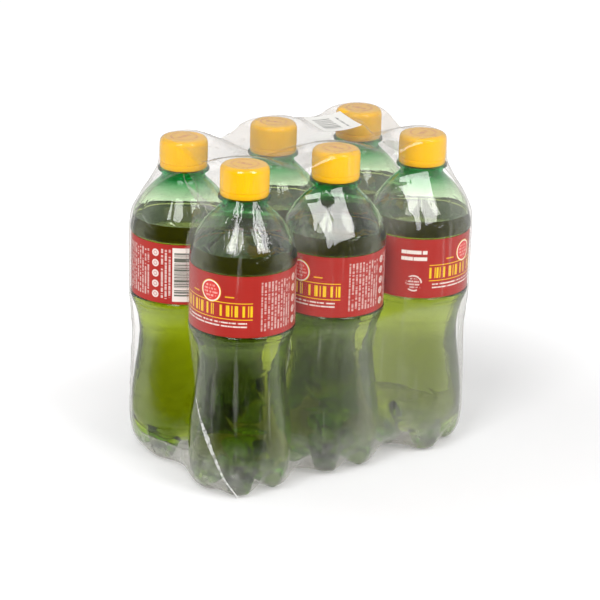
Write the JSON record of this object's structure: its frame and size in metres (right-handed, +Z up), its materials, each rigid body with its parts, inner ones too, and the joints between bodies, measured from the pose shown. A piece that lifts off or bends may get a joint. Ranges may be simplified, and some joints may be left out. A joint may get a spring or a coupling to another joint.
{
  "type": "case of ginger ale bottles",
  "caption": "Shrink-wrapped case of small ginger ale bottles: waisted green bottles with yellow screw caps and red labels, in a clear film sleeve with a hand hole at each end.",
  "frame": {"origin": "centre of the pack's underside, on the floor", "axes": "+X along the longer row of bottles, +Y from the front row to the back row, +Z up towards the caps"},
  "size_m": [0.21, 0.14, 0.2169],
  "materials": {
    "pet_green": "clear glossy moulded plastic",
    "drink": "clear liquid",
    "cap": "satin moulded",
    "label": "satin printed film",
    "film": "clear glossy shrink film with wrinkles",
    "sticker": "matt"
  },
  "bodies": {
    "root": {"bottle_1": "pet_green", "drink_1": "drink", "label_1": "label", "cap_1": "cap", "bottle_2": "pet_green", "drink_2": "drink", "label_2": "label", "cap_2": "cap", "bottle_3": "pet_green", "drink_3": "drink", "label_3": "label", "cap_3": "cap", "bottle_4": "pet_green", "drink_4": "drink", "label_4": "label", "cap_4": "cap", "bottle_5": "pet_green", "drink_5": "drink", "label_5": "label", "cap_5": "cap", "bottle_6": "pet_green", "drink_6": "drink", "label_6": "label", "cap_6": "cap", "film": "film", "sticker": "sticker"}
  },
  "joints": []
}
